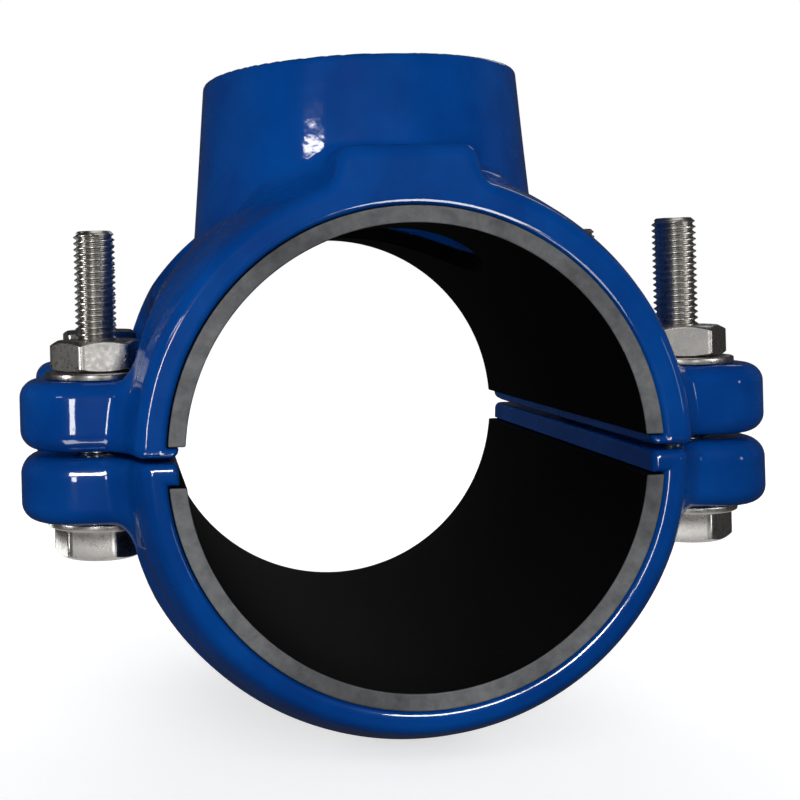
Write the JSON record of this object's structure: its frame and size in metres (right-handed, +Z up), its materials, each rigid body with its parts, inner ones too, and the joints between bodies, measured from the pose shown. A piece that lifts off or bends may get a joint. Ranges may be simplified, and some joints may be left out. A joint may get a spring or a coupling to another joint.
{
  "type": "pipe repair clamp",
  "caption": "Two cast clamp halves with rubber linings, bolted around a pipe, the upper half with a large threaded branch outlet.",
  "frame": {"origin": "bottom centre: under the pipe's centre line at mid length, at the clamp's lowest point, 81.3 mm below the parting plane", "axes": "+X across the bolts, +Y along the pipe away from the front end, +Z up to the branch outlet"},
  "size_m": [0.213, 0.138, 0.1915],
  "materials": {
    "saddle_paint": "glossy blue epoxy coat over cast iron",
    "shell_paint": "glossy blue epoxy coat over cast iron",
    "black_rubber": "matt black moulded rubber with a dusty grey cut edge",
    "stainless_steel": "bright stainless steel, rolled threads"
  },
  "bodies": {
    "shell": {"lower_shell": "shell_paint", "lower_lining": "black_rubber", "lower_washer_front_left": "stainless_steel", "lower_washer_front_right": "stainless_steel", "lower_washer_rear_left": "stainless_steel", "lower_washer_rear_right": "stainless_steel"},
    "saddle": {"upper_saddle": "saddle_paint", "upper_lining": "black_rubber"},
    "bolt_front_left": {"bolt_front_left": "stainless_steel"},
    "bolt_front_right": {"bolt_front_right": "stainless_steel"},
    "bolt_rear_left": {"bolt_rear_left": "stainless_steel"},
    "bolt_rear_right": {"bolt_rear_right": "stainless_steel"},
    "washer_front_left": {"upper_washer_front_left": "stainless_steel"},
    "washer_front_right": {"upper_washer_front_right": "stainless_steel"},
    "washer_rear_left": {"upper_washer_rear_left": "stainless_steel"},
    "washer_rear_right": {"upper_washer_rear_right": "stainless_steel"},
    "nut_front_left": {"nut_front_left": "stainless_steel"},
    "nut_front_right": {"nut_front_right": "stainless_steel"},
    "nut_rear_left": {"nut_rear_left": "stainless_steel"},
    "nut_rear_right": {"nut_rear_right": "stainless_steel"}
  },
  "joints": [
    {"name": "saddle_lift", "type": "slide", "parent": "shell", "child": "saddle", "axis": [0, 0, 1], "range_m": [-0.00117, 0.01925]},
    {"name": "bolt_turn_front_left", "type": "hinge", "parent": "shell", "child": "bolt_front_left", "pos_m": [-0.0843, -0.0375, 0.0813], "axis": [0, 0, 1], "range_deg": [-3961, 241]},
    {"name": "bolt_turn_front_right", "type": "hinge", "parent": "shell", "child": "bolt_front_right", "pos_m": [0.0843, -0.0375, 0.0813], "axis": [0, 0, 1], "range_deg": [-3961, 241]},
    {"name": "bolt_turn_rear_left", "type": "hinge", "parent": "shell", "child": "bolt_rear_left", "pos_m": [-0.0843, 0.0375, 0.0813], "axis": [0, 0, 1], "range_deg": [-3961, 241]},
    {"name": "bolt_turn_rear_right", "type": "hinge", "parent": "shell", "child": "bolt_rear_right", "pos_m": [0.0843, 0.0375, 0.0813], "axis": [0, 0, 1], "range_deg": [-3961, 241]},
    {"name": "washer_lift_front_left", "type": "slide", "parent": "saddle", "child": "washer_front_left", "axis": [0, 0, 1], "range_m": [0, 0.01927]},
    {"name": "nut_turn_front_left", "type": "hinge", "parent": "washer_front_left", "child": "nut_front_left", "pos_m": [-0.0843, -0.0375, 0.0813], "axis": [0, 0, 1], "range_deg": [0, 3960]},
    {"name": "washer_lift_front_right", "type": "slide", "parent": "saddle", "child": "washer_front_right", "axis": [0, 0, 1], "range_m": [0, 0.01927]},
    {"name": "nut_turn_front_right", "type": "hinge", "parent": "washer_front_right", "child": "nut_front_right", "pos_m": [0.0843, -0.0375, 0.0813], "axis": [0, 0, 1], "range_deg": [0, 3960]},
    {"name": "washer_lift_rear_left", "type": "slide", "parent": "saddle", "child": "washer_rear_left", "axis": [0, 0, 1], "range_m": [0, 0.01927]},
    {"name": "nut_turn_rear_left", "type": "hinge", "parent": "washer_rear_left", "child": "nut_rear_left", "pos_m": [-0.0843, 0.0375, 0.0813], "axis": [0, 0, 1], "range_deg": [0, 3960]},
    {"name": "washer_lift_rear_right", "type": "slide", "parent": "saddle", "child": "washer_rear_right", "axis": [0, 0, 1], "range_m": [0, 0.01927]},
    {"name": "nut_turn_rear_right", "type": "hinge", "parent": "washer_rear_right", "child": "nut_rear_right", "pos_m": [0.0843, 0.0375, 0.0813], "axis": [0, 0, 1], "range_deg": [0, 3960]}
  ],
  "couplings": [
    {"joint": "bolt_turn_front_left", "follows": "saddle_lift", "rad_per_m": -3590.4},
    {"joint": "bolt_turn_front_right", "follows": "saddle_lift", "rad_per_m": -3590.4},
    {"joint": "bolt_turn_rear_left", "follows": "saddle_lift", "rad_per_m": -3590.4},
    {"joint": "bolt_turn_rear_right", "follows": "saddle_lift", "rad_per_m": -3590.4},
    {"joint": "washer_lift_front_left", "follows": "nut_turn_front_left", "m_per_rad": 0.00027852},
    {"joint": "washer_lift_front_right", "follows": "nut_turn_front_right", "m_per_rad": 0.00027852},
    {"joint": "washer_lift_rear_left", "follows": "nut_turn_rear_left", "m_per_rad": 0.00027852},
    {"joint": "washer_lift_rear_right", "follows": "nut_turn_rear_right", "m_per_rad": 0.00027852}
  ]
}
